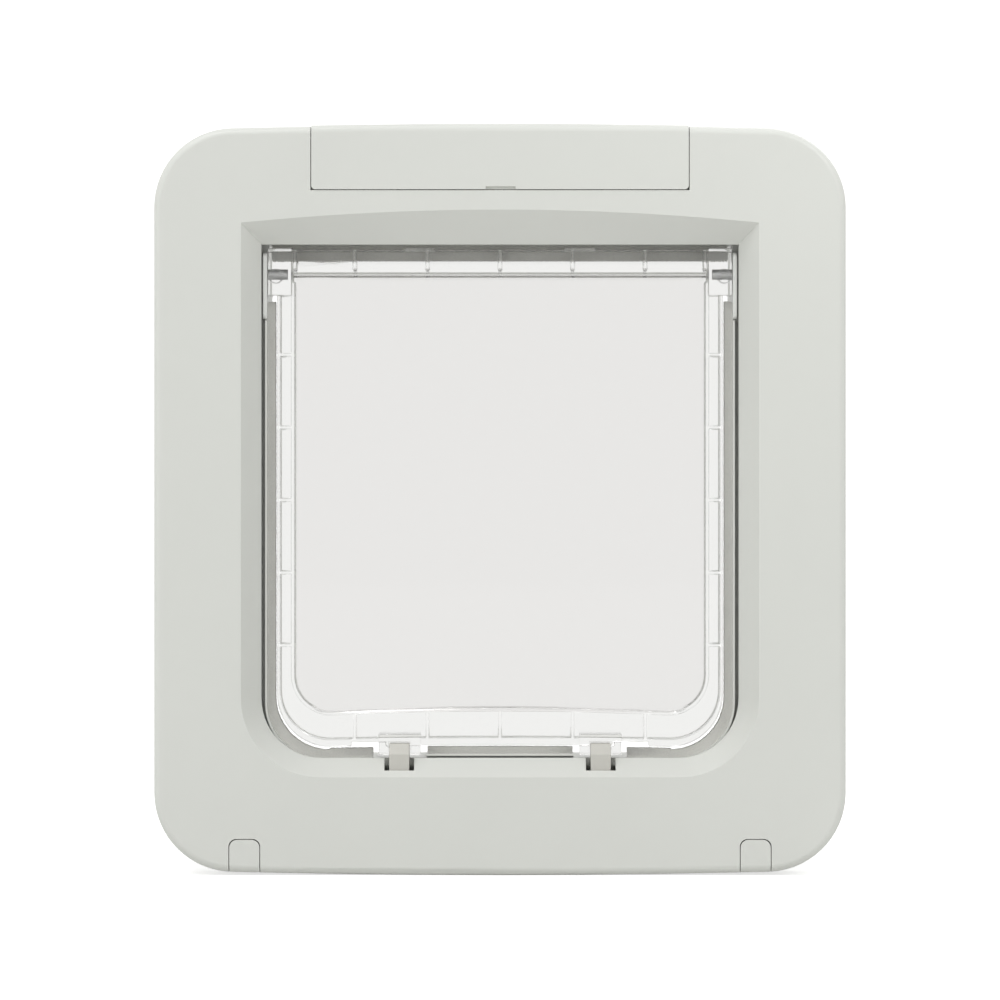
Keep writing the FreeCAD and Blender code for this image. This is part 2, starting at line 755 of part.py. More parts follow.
def rim_groove():
    """The groove in the rim's front, between its outer and inner walls, less the ribs that cross it."""
    side, foot, head = flap_side - flap_side_wall, flap_bottom - flap_foot_wall, pivot_height - lug_leg
    block = prism("groove_outer_block", "front",
                  [(-side, -foot, "dip", flap_bow), (side, -foot), (side, head), (-side, head)],
                  flap_front - past, -flap_back - flap_web)
    outer = rounded("groove_outer", block, flap_radius - flap_side_wall, upright(lambda place: place.z < 0))
    inner = pane_prism("groove_inner", flap_inner_wall, flap_front - past - past, 0)
    ribs = []
    for row in range(-2, 3):
        across = about(rib_pitch * row, rib_wall / 2)
        ribs.append(box(f"side_rib_{row + 2}", (-side, side), (flap_front, 0), across))
        ribs.append(box(f"foot_rib_{row + 2}", across, (flap_front, 0), (-flap_bottom, pane_bow - pane_bottom)))
    return cut("rim_groove", cut("open_groove", outer, inner), *ribs)


def bowed_pane():
    """The pane bows towards the room, and slopes back to the rim at its head and foot."""
    slope_head, slope_foot = 0.27, 1.33
    bend_head, bend_foot = pivot_height - pane_head_slope, pane_bottom - pane_foot_slope
    skins = []
    for tag, shift in (("pane_near", 0), ("pane_far", pane_wall)):
        crown_y = flap_front + pane_set_back + shift
        side, head, foot = pane_side + 2, pivot_height + past, -pane_bottom - 4
        bow = prism(tag + "_bow", "top",
                    [(side, crown_y + pane_crown), (side, far / 40), (-side, far / 40),
                     (-side, crown_y + pane_crown, "bow", pane_crown)], foot - past, head + past)
        wedge = prism(tag + "_ends", "side",
                      [(far / 40, foot), (far / 40, head), (crown_y + slope_head * (head - bend_head), head),
                       (crown_y - past, bend_head - past / slope_head),
                       (crown_y - past, past / slope_foot - bend_foot),
                       (crown_y - slope_foot * (foot + bend_foot), foot)],
                      -side - past, side + past)
        skins.append(common(tag, bow, wedge))
    return common("pane", cut("pane_shell", *skins),
                  pane_prism("pane_limit", flap_inner_wall / 2, flap_front - past, 0))


def catch(side, x):
    """A forked catch at the flap's foot, which the latch holds between its cheeks."""
    low = -flap_bottom - latch_lap
    block = box(f"catch_{side}_block", about(x, latch_width / 2 + latch_gap + catch_wall),
                (flap_front - catch_reach, -4), (low, catch_rise - flap_bottom))
    notch = box(f"catch_{side}_notch", about(x, latch_width / 2 + latch_gap),
                (flap_front - catch_reach - past, flap_front), (low - past, 0.5 - latch_tip))
    return cut(f"catch_{side}", block, notch)


def lug(side, sign):
    """A corner lug with a round head about the pivot, and its bead."""
    x = span_out(sign, flap_side - lug_inset, passage_side - lug_side_gap)
    front = flap_front - 0.8
    head = common(f"lug_{side}_head", rod(f"lug_{side}_round", "x", lug_radius, (pivot_y, pivot_height), x),
                  box(f"lug_{side}_slice", x, (front, -flap_back), (pivot_height - 2, far)))
    leg = box(f"lug_{side}_leg", x, (front, -flap_back), (pivot_height - lug_leg, pivot_height))
    bead = rod(f"lug_{side}_bead", "y", bead_radius, ((flap_side + 0.4) * sign, pivot_height - 0.8),
               (front - past, pivot_y))
    return fuse(f"lug_{side}", head, leg, bead)


def hinge():
    for side, sign in SIDES:
        low, high = bracket_rise()
        block = box(f"bracket_{side}_block", span_out(sign, passage_side, passage_side + bracket_wall),
                    (lip_front, bracket_back()), (low + hair, high - hair))
        soft = rounded(f"bracket_{side}_soft", block, 2,
                       lambda edge: runs_along(edge, V(1, 0, 0)) and edge.CenterOfMass.y < pivot_y.number)
        bore = rod(f"bracket_{side}_bore", "x", pin_radius + pin_clearance, (pivot_y, pivot_height),
                   about(passage_side * sign, 4))
        piece(f"hinge_bracket_{side}", cut(f"bracket_{side}", soft, bore))
        pin = rod(f"pin_{side}", "x", pin_radius, (pivot_y, pivot_height),
                  span_out(sign, flap_side - 4, passage_side + bracket_wall + 0.6))
        piece(f"hinge_pin_{side}", pin)


# Pile seals in the gap round the flap, and one behind its head
def brush_seals():
    front = seal_set_back - tunnel_start
    outer = prism("seal_outer", "front", passage_corners(Size(0)), front, front + seal_depth)
    inner = flap_plate("seal_inner", fit_gap, far, front - past, front + seal_depth + past)
    band = cut("seal_band", outer, inner)
    edge = latch_spread / 2 + 10.5
    top = pivot_height - lug_radius - fit_gap
    for side, sign in SIDES:
        room = box(f"seal_{side}_span", span_out(sign, edge, half), (front - past, past), (-far, top))
        piece(f"brush_seal_{side}", common(f"seal_{side}", band, room))
    room = box("seal_bottom_span", about(Size(0), sill_side() - 0.5), (front - past, past),
               (sill_height - passage_bottom, 0))
    piece("brush_seal_bottom", common("seal_bottom", band, room))
    piece("brush_seal_top", box("seal_top", about(Size(0), passage_side - passage_head_radius - 0.5),
                                (fit_gap, fit_gap + seal_depth), (passage_top - head_seal_drop, passage_top)))


# Latches on one sliding bar, driven by a pinion and rack
def latches():
    for side, x in latch_centres().items():
        hook = prism(f"latch_{side}_hook", "side",
                     [(latch_back, -slider_height), (latch_back, -latch_tip), (latch_front + 3, -latch_tip),
                      (latch_front, -latch_tip - 4), (latch_front, -slider_height)],
                     x - latch_width / 2, x + latch_width / 2)
        soft = rounded(f"latch_{side}_soft", hook, 0.8, lambda edge: runs_along(edge, V(1, 0, 0))
                       and edge.CenterOfMass.z > past - slider_height.number)
        piece(f"latch_{side}", soft)
    y = slider_y()
    reach = latch_spread / 2 + 8
    bar = box("slider_bar", about(Size(0), reach), y, (-slider_height - slider_thick, -slider_height))
    pitch = tooth_module * math.pi
    count, below = 8, 1.5
    low = pinion_z() - pitch * (below + 0.7)
    arm = box("rack_arm", rack_x(), y, (low, low + pitch * (count + 1)))
    piece("latch_bar", fuse("slider_with_rack", bar, arm, *rack_teeth(count, below)))


def rack_teeth(count, below):
    """Straight-flanked teeth with a 20 degree flank, thinned a little for backlash."""
    pitch = tooth_module * math.pi
    root_y, tip_y = slider_y()[1] - 0.2, pitch_y() + tooth_module
    flank, backlash = math.tan(math.radians(20)), 0.06
    wide = pitch / 4 - backlash + (pitch_y() - root_y) * flank
    narrow = pitch / 4 - backlash - tooth_module * flank
    teeth = []
    for i in range(count):
        z = pinion_z() + pitch * (i - below)
        teeth.append(prism(f"rack_tooth_{i}", "side",
                           [(root_y, z - wide), (tip_y, z - narrow), (tip_y, z + narrow), (root_y, z + wide)],
                           *rack_x()))
    return teeth


def pitch_radius():
    return tooth_module * pinion_teeth / 2


def pinion_y():
    """The pinion stands just clear of the back plate."""
    return wall_front - pinion_clearance - pitch_radius() - tooth_module


def pinion_z():
    return -(slider_height + slider_thick / 2)


def pitch_y():
    return pinion_y() - pitch_radius()


def slider_y():
    back = pitch_y() - tooth_module * 1.25
    return back - slider_depth, back


def rack_x():
    return Size(3), 3 + pinion_width + fit_gap * 2


def gearbox_x():
    return rack_x()[0] - 10.5, rack_x()[0] - 1.5


def drive_pinion():
    body = named("PartDesign::Body", "pinion_body")
    root_r = pitch_radius() - tooth_module * 1.25
    hub = body.newObject("Sketcher::SketchObject", "pinion_hub_circle")
    hub.AttachmentSupport = (origin_plane(body, "YZ_Plane"), [""])
    hub.MapMode = "FlatFace"
    hub.addGeometry(Part.Circle(V(), V(0, 0, 1), root_r.number), False)
    hub.addConstraint(Sketcher.Constraint("Coincident", 0, 3, -1, 1))
    index = hub.addConstraint(Sketcher.Constraint("Radius", 0, root_r.number))
    hub.setExpression(f"Constraints[{index}]", root_r.text)
    disc = body.newObject("PartDesign::Pad", "pinion_hub")
    disc.Profile = hub
    bind(disc, "Length", pinion_width)
    doc.recompute()
    tooth = body.newObject("Sketcher::SketchObject", "pinion_tooth_outline")
    tooth.AttachmentSupport = (origin_plane(body, "YZ_Plane"), [""])
    tooth.MapMode = "FlatFace"
    base, waist, tip = tooth_module * 0.86, tooth_module * 0.70, tooth_module * 0.26
    outer, inner = pitch_radius() + tooth_module, root_r - 0.3
    draw(tooth, [(-outer, -tip), (-pitch_radius(), -waist), (-inner, -base),
                 (-inner, base), (-pitch_radius(), waist), (-outer, tip)])
    pad = body.newObject("PartDesign::Pad", "pinion_tooth")
    pad.Profile = tooth
    bind(pad, "Length", pinion_width)
    doc.recompute()
    teeth = body.newObject("PartDesign::PolarPattern", "pinion_teeth_ring")
    teeth.Originals = [pad]
    teeth.Axis = (hub, ["N_Axis"])
    teeth.Angle = 360
    bind(teeth, "Occurrences", pinion_teeth)
    body.Tip = teeth
    x = rack_x()[0] + fit_gap
    for letter, value in zip("xyz", (x, pinion_y(), pinion_z())):
        bind(body, f"Placement.Base.{letter}", value)
    shaft = rod("pinion_shaft", "x", shaft_radius, (pinion_y(), pinion_z()),
                (gearbox_x()[1] - 3, x + pinion_width + 1))
    piece("drive_pinion", fuse("pinion_with_shaft", body, shaft))


def gear_motor():
    y, z = pinion_y(), pinion_z()
    low, high = gearbox_x()
    flats = 5
    gearbox = box("gearbox_block", (low, high), about(y, flats), about(z, 6))
    can = common("motor_can", rod("motor_round", "x", 6, (y, z), (low - 15, low)),
                 box("motor_flats", (low - 15, low), about(y, flats), about(z, 6)))
    tail = rod("motor_tail", "x", 2, (y, z), (low - 16.5, low - 14))
    bore = rod("gearbox_bore", "x", shaft_radius + pin_clearance, (y, z), (high - 4, high + past))
    piece("gear_motor", cut("motor_cut", fuse("motor_whole", gearbox, can, tail), bore))
    x = (low - 3, high - 1)
    foot = box("motor_foot", x, (y + flats, wall_front), about(z, 9))
    cheeks = [box(f"motor_cheek_{i}", x, (y - flats + 0.6, y + flats + 0.2), about(z + 6.8 * up, 0.8))
              for i, up in enumerate((-1, 1))]
    piece("motor_bracket", fuse("motor_cradle", foot, *cheeks))


def latch_guides():
    low, high = 5 - slider_height, 13 - slider_height
    for side, x in latch_centres().items():
        block = box(f"guide_{side}_block", about(x, latch_width / 2 + 2.3), (latch_front + 0.4, wall_front),
                    (low, high))
        channel = box(f"guide_{side}_channel", about(x, latch_width / 2 + fit_gap),
                      (latch_front - past, latch_back + fit_gap), (low - past, high + past))
        piece(f"latch_guide_{side}", cut(f"guide_{side}", block, channel))


# Battery compartment
def battery_tray():
    top = tray_bottom + tray_height
    back = wall_front
    front = back - battery_radius * 2 + 1.5
    block = box("tray_block", about(Size(0), tray_span), (front, back), (tray_bottom, top))
    bays = [box(f"tray_bay_{side}", span_out(sign, tray_wall / 2, tray_span - tray_wall),
                (front - past, back - tray_wall), (tray_bottom + tray_wall, top - tray_wall)) for side, sign in SIDES]
    face = button_y() + 2.6
    wing = box("tray_wing", (tray_span - 0.5, button_x + 7.1), (face, face + 1.5), (top - 10.6, top))
    bore = rod("button_bore", "y", button_radius + pin_clearance, (button_x, button_z), (face - past, back))
    piece("battery_tray", cut("tray_cut", fuse("tray_whole", cut("tray_hollow", block, *bays), wing), bore))


def battery_rows():
    """Heights of the two rows of cells."""
    pitch = battery_radius * 2 + battery_gap
    return [tray_bottom + tray_wall + pitch * (row + 0.5) for row in (0, 1)]


def batteries():
    r, length = battery_radius, battery_length
    nub_radius, nub_length, play = 2.6, 1, 0.5
    y = wall_front - tray_wall - battery_gap / 2 - r
    for row, z in enumerate(battery_rows()):
        for column, start in enumerate((-(tray_wall / 2 + play + length), tray_wall / 2 + play)):
            number = row * 2 + column + 1
            cell_body = turned(f"battery_{number}_turned",
                               [(0, 0), (r, 0), (r, length - nub_length), (nub_radius, length - nub_length),
                                (nub_radius, length), (0, length)], "x", (start, y, z))
            piece(f"battery_{number}", cell_body)


def battery_contacts():
    plates = []
    thick = 0.4
    for side, sign in SIDES:
        for spot, x in (("mid", tray_wall / 2), ("end", tray_span - tray_wall - thick)):
            for row, z in enumerate(battery_rows()):
                plates.append(box(f"contact_{side}_{spot}_{row}", span_out(sign, x, x + thick),
                                  about(wall_front - 8, 4), about(z, 4.5)))
    piece("battery_contacts", grouped("contact_plates", *plates))


def board_face():
    """Front of the small boards, which lie on the back plate."""
    return wall_front - 1.6


def switch_front():
    return board_face() - 4.2


def button_y():
    """Front of the button: its stem, travel and a small gap stand before the switch."""
    return switch_front() - 0.4 - button_travel - 5.6


def learn_button():
    y = button_y()
    place = (button_x, button_z)
    stem = rounded("button_edge", rod("button_stem", "y", button_radius, place, (y, y + 5.6)), 0.5, at_level(y),
                   "Part::Chamfer")
    flange = rod("button_flange", "y", button_radius + 1, place, (y + 4.4, y + 5.6))
    piece("learn_button", fuse("button_whole", stem, flange))
    switch = box("switch_body", about(button_x, 3), (switch_front() + 1.2, board_face()), about(button_z, 3))
    plunger = rod("switch_plunger", "y", 1.6, place, (switch_front(), switch_front() + 2))
    piece("tact_switch", fuse("switch_whole", switch, plunger))
    piece("button_board", box("button_board_blank", about(button_x, 6), (board_face(), wall_front),
                              about(button_z, 5)))


def status_led():
    led = turned("led_turned", [(0, 0), (2, 0), (2, 3.5), (1.2, 4.8), (0, 5)], "y", (0, 0, 0))
    led.Placement = FreeCAD.Placement(V(), FreeCAD.Rotation(V(1, 0, 0), 90))
    for letter, value in zip("xyz", (-button_x, board_face(), button_z)):
        bind(led, f"Placement.Base.{letter}", value)
    piece("status_led", led)
    piece("led_board", box("led_board_blank", about(-button_x, 6), (board_face(), wall_front), about(button_z, 5)))


def circuit_board():
    x = (passage_side + 9, half - frame_wall - 14)
    middle = (x[0] + x[1]) / 2
    back = wall_front - 4
    board = box("board_blank", x, (back - 1.6, back), (-30, 60))
    feet = [box(f"board_foot_{i}", about(px, 2.5), (back, wall_front), about(Size(pz), 2.5))
            for i, (px, pz) in enumerate(((x[0] + 4, -26), (x[0] + 4, 56), (x[1] - 4, -26), (x[1] - 4, 56)))]
    chips = [box(f"board_chip_{i}", about(middle, wide / 2), (back - 1.6 - tall, back - 1.6),
                 about(Size(z), deep / 2))
             for i, (wide, tall, z, deep) in enumerate(((9, 1.6, 35, 9), (6, 1.2, 12, 5), (9, 4, -12, 8)))]
    piece("circuit_board", fuse("board_whole", board, *feet, *chips))


def antenna():
    """The coil lies on the tunnel, in a cover with a flange at each end."""
    end = tunnel_reach - sleeve_lap - 0.9
    on_tunnel = tunnel_wall + hair
    crest = on_tunnel + coil_depth
    outside = crest + hair + coil_cover_wall
    piece("antenna_coil", ring("coil_ring", on_tunnel, crest, coil_start + flange_wall + 0.6,
                               end - flange_wall - 0.6))
    shell = ring("coil_shell", crest + hair, outside, coil_start + flange_wall / 2, end - flange_wall / 2)
    flanges = [ring(f"coil_flange_{i}", on_tunnel, outside, low, low + flange_wall)
               for i, low in enumerate((coil_start, end - flange_wall))]
    piece("coil_cover", fuse("coil_cover_whole", shell, *flanges))


# Outdoor frame with its sleeve
def outer_frame():
    face = door_thickness + outer_depth
    body = rounded("outside_outer", frame_block("outside_outline", door_thickness, face), outer_edge, at_level(face),
                   "Part::Chamfer")
    cavity = frame_block("outside_cavity", door_thickness - past, face - frame_wall, frame_wall)
    bore = tunnel_wall + fit_gap
    bend = face - 7
    sleeve = prism("sleeve_outer", "front", passage_corners(bore + sleeve_wall), tunnel_reach - sleeve_lap,
                   face - past)
    skin = prism("flare_skin", "front", passage_corners(bore + outer_flare + past), bend - 0.5, face - past)
    bosses = [rod(f"outside_boss_{i}", "y", screw_radius + insert_wall + 2.2, place,
                  (door_thickness, face - frame_wall / 2)) for i, place in enumerate(screw_places())]
    whole = fuse("outside_whole", cut("outside_shell", body, cavity), sleeve, skin, *bosses)
    clear = prism("sleeve_inner", "front", passage_corners(bore), tunnel_reach - sleeve_lap - past, face + past)
    flare = loft("outside_flare",
                 sketch("outside_flare_back", "front", bend, passage_corners(bore)),
                 sketch("outside_flare_front", "front", face + past, passage_corners(bore + outer_flare)))
    bores = [rod(f"insert_bore_{i}", "y", screw_radius + insert_wall, place,
                 (door_thickness - past, door_thickness + insert_length + 0.5))
             for i, place in enumerate(screw_places())]
    piece("outer_frame", cut("outside_cut", whole, clear, flare, *bores))


def fixing_screws():
    length = door_thickness - seat_y + insert_length - 1
    r, head, tall = screw_radius, screw_head_radius, screw_head_height
    screws = []
    for i, (x, z) in enumerate(screw_places()):
        blank = turned(f"screw_{i}_turned",
                       [(0, -tall), (head - 1, -tall), (head, 1.2 - tall), (head, 0), (r, 0), (r, length),
                        (0, length)], "y", (x, seat_y, z))
        slots = [box(f"screw_{i}_slot_{k}", about(x, wide), (seat_y - tall - past, seat_y - tall + 1.4),
                     about(z, deep)) for k, (wide, deep) in enumerate(((2.1, 0.45), (0.45, 2.1)))]
        screws.append(cut(f"screw_{i}", blank, *slots))
    piece("fixing_screws", grouped("screw_group", *screws))


def small_fixings():
    inserts, taps = [], []
    r = screw_radius
    for i, (x, z) in enumerate(screw_places()):
        wall = r + insert_wall
        profile = [(r, hair), (wall, hair), (wall, insert_length), (r, insert_length)]
        inserts.append(turned(f"insert_{i}_turned", profile, "y", (x, door_thickness, z)))
    shank, head, seat = tap_radius, tap_radius + 1.8, tap_seat()
    for i, (x, z) in enumerate(post_places()):
        taps.append(turned(f"tap_{i}_turned", [(0, -10), (shank, -10), (shank, seat), (head, seat), (head, -fit_gap),
                                               (0, -fit_gap)], "y", (x, 0, z)))
    piece("threaded_inserts", grouped("insert_group", *inserts))
    piece("housing_screws", grouped("tap_group", *taps))


front_frame()
screw_caps()
battery_cover()
inner_housing()
flap()
hinge()
brush_seals()
latches()
drive_pinion()
gear_motor()
latch_guides()
battery_tray()
batteries()
battery_contacts()
learn_button()
status_led()
circuit_board()
antenna()
outer_frame()
fixing_screws()
small_fixings()
doc.recompute()

broken = [thing.Name for thing in doc.Objects if "Invalid" in thing.State or "Error" in thing.State]
if broken:
    raise RuntimeError("not built: " + ", ".join(broken))
bad = [label for label, solid in nodes.items()
       if solid.Shape.isNull() or not solid.Shape.isValid() or not solid.Shape.Solids]
if bad:
    raise RuntimeError("bad shapes: " + ", ".join(bad))

os.makedirs("parts", exist_ok=True)
for label, solid in nodes.items():
    solid.Shape.exportStep(f"parts/{label}.step")
    print(label, len(solid.Shape.Solids), round(solid.Shape.Volume, 1))
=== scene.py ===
import json
import math
import random
import bpy
from mathutils import Matrix, Vector


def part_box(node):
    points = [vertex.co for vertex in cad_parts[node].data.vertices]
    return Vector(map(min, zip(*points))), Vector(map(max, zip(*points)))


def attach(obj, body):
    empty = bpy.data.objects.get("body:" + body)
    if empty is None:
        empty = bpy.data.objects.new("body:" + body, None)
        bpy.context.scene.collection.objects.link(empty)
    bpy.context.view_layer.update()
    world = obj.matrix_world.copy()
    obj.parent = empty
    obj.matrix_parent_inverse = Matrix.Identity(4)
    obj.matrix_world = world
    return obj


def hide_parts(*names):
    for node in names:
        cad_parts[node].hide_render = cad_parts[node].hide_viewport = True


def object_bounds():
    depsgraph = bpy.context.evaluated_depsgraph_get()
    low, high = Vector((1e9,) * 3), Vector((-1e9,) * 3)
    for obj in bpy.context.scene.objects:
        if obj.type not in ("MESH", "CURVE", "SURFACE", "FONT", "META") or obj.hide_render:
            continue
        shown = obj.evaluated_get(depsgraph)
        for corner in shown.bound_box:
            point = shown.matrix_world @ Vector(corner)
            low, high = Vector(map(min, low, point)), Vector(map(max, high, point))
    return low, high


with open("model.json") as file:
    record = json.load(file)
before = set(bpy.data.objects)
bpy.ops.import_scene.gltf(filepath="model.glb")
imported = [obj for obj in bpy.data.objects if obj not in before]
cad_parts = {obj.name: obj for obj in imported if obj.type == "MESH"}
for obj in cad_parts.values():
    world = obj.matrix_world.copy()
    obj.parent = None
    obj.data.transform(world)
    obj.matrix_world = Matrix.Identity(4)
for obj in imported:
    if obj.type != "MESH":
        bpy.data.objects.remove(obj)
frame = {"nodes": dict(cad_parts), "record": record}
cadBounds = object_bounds()
nodes = frame["nodes"]
subparts = frame["record"]["subparts"]
bodies = frame["record"]["behaviour"]["bodies"]
slotOf = {part["node"]: part["material_slot"] for part in subparts}
bodyOf = {node: body for body, members in bodies.items() for node in members}

mm = 0.001

view = {
    "distance": 1800 * mm,      # camera to the front face
    "frameShown": 378.07 * mm,  # width of the photographed frame at the front face
    "sensor": 36.0,
    "height": 0.0,
}


def linear(hexColour):
    # sRGB hex to linear RGBA
    channels = [int(hexColour[i:i + 2], 16) / 255 for i in (1, 3, 5)]
    return [c / 12.92 if c <= 0.04045 else ((c + 0.055) / 1.055) ** 2.4 for c in channels] + [1.0]


def addNode(tree, kind, settings=None, **inputs):
    # one node with its settings and its sockets; a value that is a socket is linked
    node = tree.nodes.new(kind)
    for name, value in (settings or {}).items():
        setattr(node, name, value)
    for name, value in inputs.items():
        key = int(name[1:]) if name[0] == "i" and name[1:].isdigit() else name.replace("_", " ")
        if isinstance(value, bpy.types.NodeSocket):
            tree.links.new(value, node.inputs[key])
        else:
            node.inputs[key].default_value = value
    return node


def newMaterial(name):
    material = bpy.data.materials.new(name)
    material.use_nodes = True
    tree = material.node_tree
    tree.nodes.clear()
    output = tree.nodes.new("ShaderNodeOutputMaterial")
    return material, tree, output


mouldFinish = {
    "grain": 0.4 * mm,        # spark-eroded grain of the mould
    "grainDepth": 0.01 * mm,
    "grainStrength": 0.3,
    "glossSpread": 0.05,      # how far the grain varies the roughness
    "drift": 60 * mm,         # length over which the tone drifts
    "driftShare": 0.02,
}


def mouldedPlastic(name, hexColour, roughness=0.42):
    # injection-moulded plastic: even colour, spark-eroded grain that spreads the highlight
    material, tree, output = newMaterial(name)
    place = addNode(tree, "ShaderNodeTexCoord")
    grain = addNode(tree, "ShaderNodeTexNoise", Vector=place.outputs["Object"],
                    Scale=1 / mouldFinish["grain"], Detail=2.0, Roughness=0.6)
    cloud = addNode(tree, "ShaderNodeTexNoise", Vector=place.outputs["Object"],
                    Scale=1 / mouldFinish["drift"], Detail=3.0, Roughness=0.5)
    shade = linear(hexColour)
    darker = [c * (1 - mouldFinish["driftShare"]) for c in shade[:3]] + [1]
    lighter = [min(1, c * (1 + mouldFinish["driftShare"])) for c in shade[:3]] + [1]
    tone = addNode(tree, "ShaderNodeMix", {"data_type": "RGBA"}, i0=cloud.outputs["Fac"],
                   i6=darker, i7=lighter)
    rough = addNode(tree, "ShaderNodeMapRange", i0=grain.outputs["Fac"], i1=0.3, i2=0.7,
                    i3=roughness - mouldFinish["glossSpread"], i4=roughness + mouldFinish["glossSpread"])
    bump = addNode(tree, "ShaderNodeBump", Strength=mouldFinish["grainStrength"],
                   Distance=mouldFinish["grainDepth"], Height=grain.outputs["Fac"])
    shader = addNode(tree, "ShaderNodeBsdfPrincipled", Base_Color=tone.outputs[2], Roughness=rough.outputs[0],
                     Normal=bump.outputs[0], IOR=1.53)
    tree.links.new(shader.outputs[0], output.inputs[0])
    return material


clearMoulding = {
    "paneTint": "#e8e7e5",      # the thin pane, faintly smoked
    "rimPaintedLightTint": "#f0f0ee",       # painted light: the rim's walls carry light along, and this lighter tint stands in for it
    "tintBlend": 0.4 * mm,      # half the width of the change between the two
    "ripple": 22 * mm,          # the slow waves that moulding leaves
    "rippleDepth": 0.04 * mm,
    "edgeRadius": 0.65 * mm,    # edges that the polished mould rounds
    "paneSide": 78.3 * mm,      # half the pane's width
    "paneEdge": -81.0 * mm,     # its lower edge
    "paneRadius": 14.0 * mm,
    "barFoot": 85.6 * mm,       # lowest line of the hinge bar
    "slopeFoot": -83.0 * mm,    # the pane's slopes lie between these heights
    "slopeHead": 82.0 * mm,
    "barLevel": 0.45,           # 1 shades the round hinge bar as flat
    "curveAngle": 35.0,         # walls that turn by less than this share one smooth surface
    "plateAngle": 0.2,          # flat faces that turn by more than this meet in a crease
    "upright": 0.05,            # a face is a wall while its normal leans less than this
    "tilted": 0.01,             # and a slope once it leans more than this
}


def clearPolycarbonate(name):
    # clear moulded polycarbonate: glossy, a smoke tint in the pane and, as painted light, a lighter tint in
    # its rim and bar for the light their walls carry
    material, tree, output = newMaterial(name)
    place = addNode(tree, "ShaderNodeTexCoord")
    ripple = addNode(tree, "ShaderNodeTexNoise", Vector=place.outputs["Object"],
                     Scale=1 / clearMoulding["ripple"], Detail=1.0, Roughness=0.4)
    rounded = addNode(tree, "ShaderNodeBevel", {"samples": 6}, Radius=clearMoulding["edgeRadius"])
    bump = addNode(tree, "ShaderNodeBump", Strength=0.15, Distance=clearMoulding["rippleDepth"],
                   Height=ripple.outputs["Fac"], Normal=rounded.outputs[0])
    # distance past the pane's rounded outline and past the bar's lowest line
    parts = addNode(tree, "ShaderNodeSeparateXYZ", i0=place.outputs["Object"])
    side = addNode(tree, "ShaderNodeMath", {"operation": "ABSOLUTE"}, i0=parts.outputs[0])
    pastSide = addNode(tree, "ShaderNodeMath", {"operation": "SUBTRACT"}, i0=side.outputs[0],
                       i1=clearMoulding["paneSide"] - clearMoulding["paneRadius"])
    pastFoot = addNode(tree, "ShaderNodeMath", {"operation": "SUBTRACT"}, i1=parts.outputs[2],
                       i0=clearMoulding["paneEdge"] + clearMoulding["paneRadius"])
    corner = addNode(tree, "ShaderNodeCombineXYZ", i0=pastSide.outputs[0], i1=pastFoot.outputs[0])
    outward = addNode(tree, "ShaderNodeVectorMath", {"operation": "MAXIMUM"}, i0=corner.outputs[0])
    reach = addNode(tree, "ShaderNodeVectorMath", {"operation": "LENGTH"}, i0=outward.outputs[0])
    lower = addNode(tree, "ShaderNodeMath", {"operation": "SUBTRACT"}, i0=reach.outputs["Value"],
                    i1=clearMoulding["paneRadius"])
    pastHead = addNode(tree, "ShaderNodeMath", {"operation": "SUBTRACT"}, i0=parts.outputs[2],
                       i1=clearMoulding["barFoot"])
    past = addNode(tree, "ShaderNodeMath", {"operation": "MAXIMUM"}, i0=lower.outputs[0],
                   i1=pastHead.outputs[0])
    # painted light: the rim and the bar take the lighter tint, the pane keeps the smoke tint
    rimLightShare = addNode(tree, "ShaderNodeMapRange", i0=past.outputs[0], i1=-clearMoulding["tintBlend"],
                    i2=clearMoulding["tintBlend"], i3=0.0, i4=1.0)
    tone = addNode(tree, "ShaderNodeMix", {"data_type": "RGBA"}, i0=rimLightShare.outputs[0],
                   i6=linear(clearMoulding["paneTint"]), i7=linear(clearMoulding["rimPaintedLightTint"]))
    shader = addNode(tree, "ShaderNodeBsdfPrincipled", Base_Color=tone.outputs[2], Roughness=0.03,
                     Normal=bump.outputs[0], IOR=1.58, Transmission_Weight=1.0)
    tree.links.new(shader.outputs[0], output.inputs[0])
    return material


def plainMetal(name, hexColour, roughness=0.3, scratch=0.4, bandPitch=0.0, bandDepth=0.0, coat=0.0):
    # zinc-plated, turned or wound metal; bands along Y stand for a thread or a winding
    material, tree, output = newMaterial(name)
    place = addNode(tree, "ShaderNodeTexCoord")
    noise = addNode(tree, "ShaderNodeTexNoise", Vector=place.outputs["Object"],
                    Scale=1 / (scratch * mm), Detail=3.0)
    rough = addNode(tree, "ShaderNodeMapRange", i0=noise.outputs["Fac"], i1=0.3, i2=0.7,
                    i3=roughness - 0.08, i4=roughness + 0.1)
    shader = addNode(tree, "ShaderNodeBsdfPrincipled", Base_Color=linear(hexColour), Metallic=1.0,
                     Roughness=rough.outputs[0], Coat_Weight=coat)
    if bandPitch:
        bands = addNode(tree, "ShaderNodeTexWave", {"wave_type": "BANDS", "bands_direction": "Y"},
                        Vector=place.outputs["Object"], Scale=math.pi / 10 / (bandPitch * mm))
        bump = addNode(tree, "ShaderNodeBump", Strength=0.8, Distance=bandDepth * mm,
                       Height=bands.outputs["Fac"])
        tree.links.new(bump.outputs[0], shader.inputs["Normal"])
    tree.links.new(shader.outputs[0], output.inputs[0])
    return material


yarn = {
    "fibre": 0.5 * mm,       # bundles of fibres, drawn coarser than the real ones so that they show
    "fibreDepth": 0.08 * mm,
    "toneSpread": 0.14,
}


